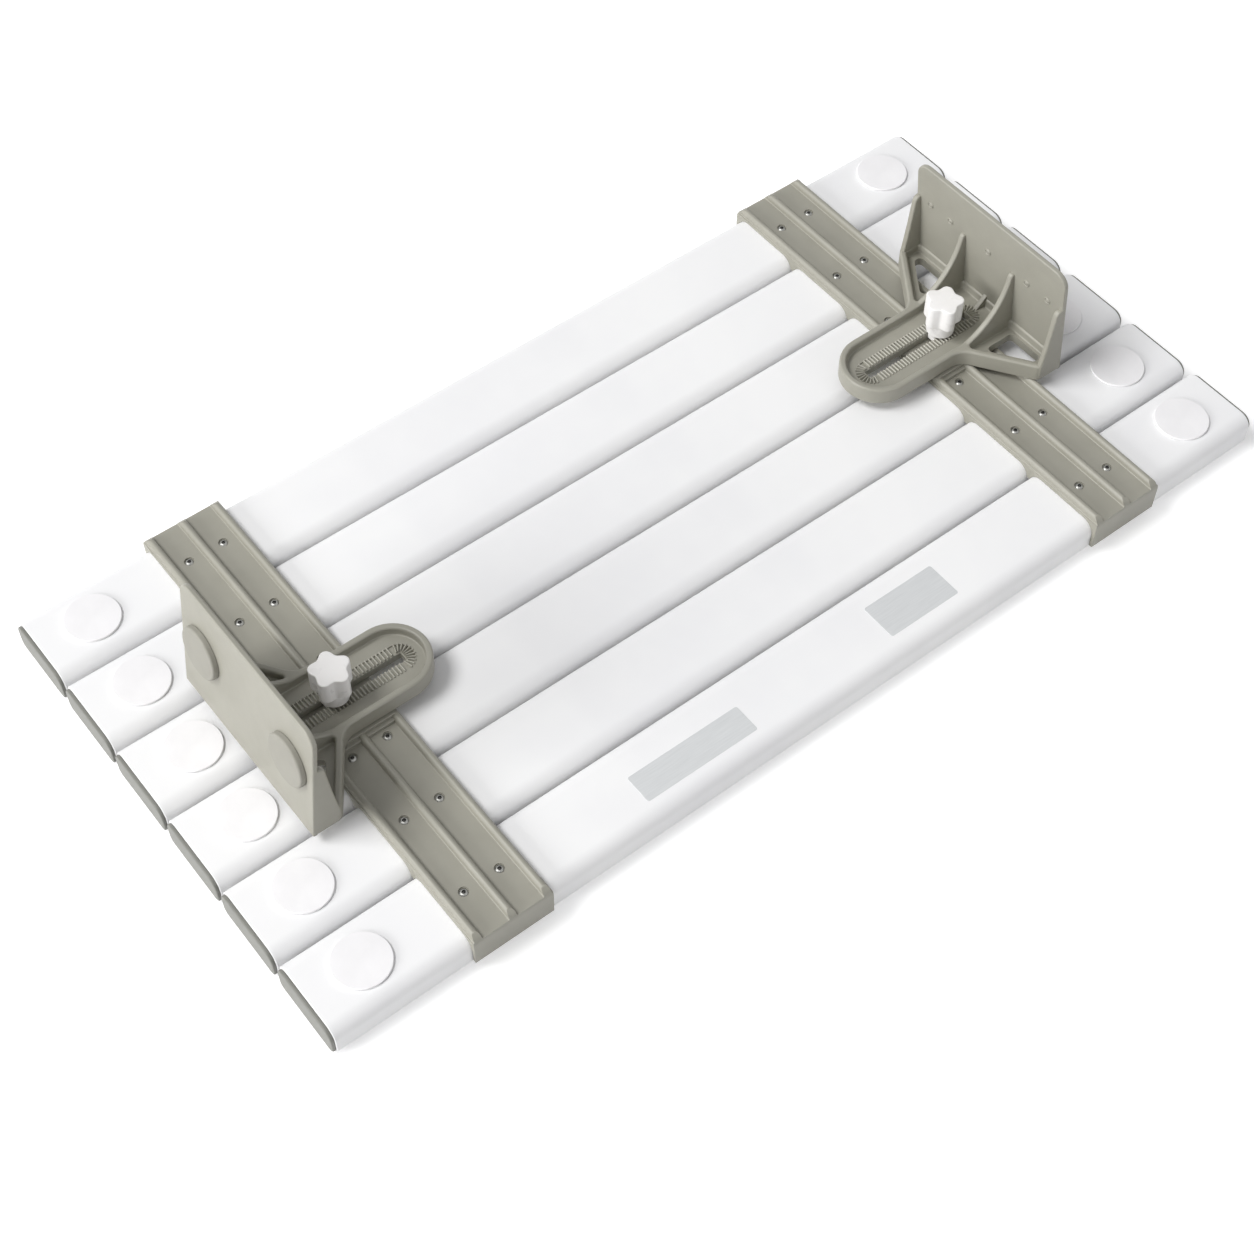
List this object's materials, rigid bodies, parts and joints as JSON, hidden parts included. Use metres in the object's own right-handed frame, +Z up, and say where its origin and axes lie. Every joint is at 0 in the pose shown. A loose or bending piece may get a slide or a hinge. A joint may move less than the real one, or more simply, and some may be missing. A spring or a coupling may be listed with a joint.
{
  "type": "bath board",
  "caption": "Slatted bath board lying seat face down, with two toothed sliding wall brackets clamped to cross rails by star knobs.",
  "frame": {"origin": "middle of the seat face, which lies on the floor", "axes": "+X along the slats towards the right bracket, +Y across the slats to their far side, +Z up from the seat face through the underside"},
  "size_m": [0.711, 0.3508, 0.1193],
  "materials": {
    "white_slat": "smooth white extruded plastic, satin",
    "rim_disc": "soft white rubber, matte",
    "grey_plastic": "warm grey moulded plastic, satin",
    "pad_rubber": "warm grey rubber, matte",
    "knob_plastic": "warm white moulded plastic",
    "steel": "bright zinc-plated steel"
  },
  "bodies": {
    "root": {"slat_1": "white_slat", "slat_2": "white_slat", "slat_3": "white_slat", "slat_4": "white_slat", "slat_5": "white_slat", "slat_6": "white_slat", "end_cap_left_1": "grey_plastic", "end_cap_right_1": "grey_plastic", "end_cap_left_2": "grey_plastic", "end_cap_right_2": "grey_plastic", "end_cap_left_3": "grey_plastic", "end_cap_right_3": "grey_plastic", "end_cap_left_4": "grey_plastic", "end_cap_right_4": "grey_plastic", "end_cap_left_5": "grey_plastic", "end_cap_right_5": "grey_plastic", "end_cap_left_6": "grey_plastic", "end_cap_right_6": "grey_plastic", "rim_disc_left_1": "rim_disc", "rim_disc_right_1": "rim_disc", "rim_disc_left_2": "rim_disc", "rim_disc_right_2": "rim_disc", "rim_disc_left_3": "rim_disc", "rim_disc_right_3": "rim_disc", "rim_disc_left_4": "rim_disc", "rim_disc_right_4": "rim_disc", "rim_disc_left_5": "rim_disc", "rim_disc_right_5": "rim_disc", "rim_disc_left_6": "rim_disc", "rim_disc_right_6": "rim_disc", "rail_left": "grey_plastic", "captive_nut_left": "steel", "rail_right": "grey_plastic", "captive_nut_right": "steel"},
    "left_bracket": {"bracket_left": "grey_plastic", "wall_pad_left_far": "pad_rubber", "wall_pad_left_near": "pad_rubber"},
    "left_washer": {"lock_washer_left": "knob_plastic"},
    "left_knob": {"knob_left": "knob_plastic", "knob_stud_left": "steel"},
    "right_bracket": {"bracket_right": "grey_plastic", "wall_pad_right_far": "pad_rubber", "wall_pad_right_near": "pad_rubber"},
    "right_washer": {"lock_washer_right": "knob_plastic"},
    "right_knob": {"knob_right": "knob_plastic", "knob_stud_right": "steel"}
  },
  "joints": [
    {"name": "left_bracket_slide", "type": "slide", "parent": "root", "child": "left_bracket", "axis": [-1, 0, 0], "range_m": [-0.0325, 0.04]},
    {"name": "left_washer_slide", "type": "slide", "parent": "root", "child": "left_washer", "axis": [0, 0, 1], "range_m": [-0.0009, 0.0025]},
    {"name": "left_knob_turn", "type": "hinge", "parent": "left_washer", "child": "left_knob", "pos_m": [-0.237, 0, 0.045], "axis": [0, 0, 1], "range_deg": [-325, 901]},
    {"name": "right_bracket_slide", "type": "slide", "parent": "root", "child": "right_bracket", "axis": [1, 0, 0], "range_m": [-0.0175, 0.055]},
    {"name": "right_washer_slide", "type": "slide", "parent": "root", "child": "right_washer", "axis": [0, 0, 1], "range_m": [-0.0009, 0.0025]},
    {"name": "right_knob_turn", "type": "hinge", "parent": "right_washer", "child": "right_knob", "pos_m": [0.237, 0, 0.045], "axis": [0, 0, 1], "range_deg": [-325, 901]}
  ],
  "couplings": [
    {"joint": "left_knob_turn", "follows": "left_washer_slide", "rad_per_m": 6283.2},
    {"joint": "right_knob_turn", "follows": "right_washer_slide", "rad_per_m": 6283.2}
  ]
}
